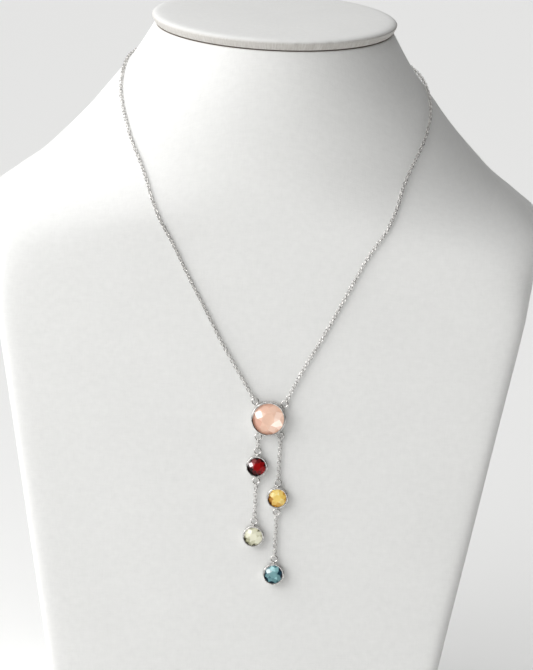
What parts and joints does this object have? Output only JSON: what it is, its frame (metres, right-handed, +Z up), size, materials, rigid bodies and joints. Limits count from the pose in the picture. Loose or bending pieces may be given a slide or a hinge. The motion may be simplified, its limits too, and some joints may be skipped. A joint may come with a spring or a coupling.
{
  "type": "gemstone necklace on a neck bust",
  "caption": "Silver chain necklace with a round rose-cut centre stone and two short chain drops of bezel-set coloured stones, worn by a plain pale neck bust that stands on its flat base.",
  "frame": {"origin": "on the surface that the bust stands on, below the middle of the whole object's box", "axes": "+X to the right of someone who faces the necklace, +Y towards the bust's flat back, +Z up"},
  "size_m": [0.1868, 0.1098, 0.2475],
  "materials": {
    "white_leather": "white artificial leather with a fine linen-like grain, satin",
    "silver": "polished sterling silver",
    "rose_quartz": "polished, translucent peach pink, faceted",
    "garnet": "polished, deep red, faceted",
    "citrine": "polished, golden yellow, faceted",
    "lemon_quartz": "polished, pale greenish yellow, faceted",
    "blue_topaz": "polished, deep teal blue, faceted"
  },
  "bodies": {
    "root": {"bust_body": "white_leather", "neck_cap": "white_leather", "neck_chain_left": "silver", "neck_chain_right": "silver", "clasp": "silver", "rose_quartz_setting": "silver", "garnet_setting": "silver", "citrine_setting": "silver", "lemon_quartz_setting": "silver", "blue_topaz_setting": "silver", "rose_quartz": "rose_quartz", "garnet": "garnet", "citrine": "citrine", "lemon_quartz": "lemon_quartz", "blue_topaz": "blue_topaz", "garnet_chain": "silver", "lemon_quartz_chain": "silver", "citrine_chain": "silver", "blue_topaz_chain": "silver"}
  },
  "joints": []
}
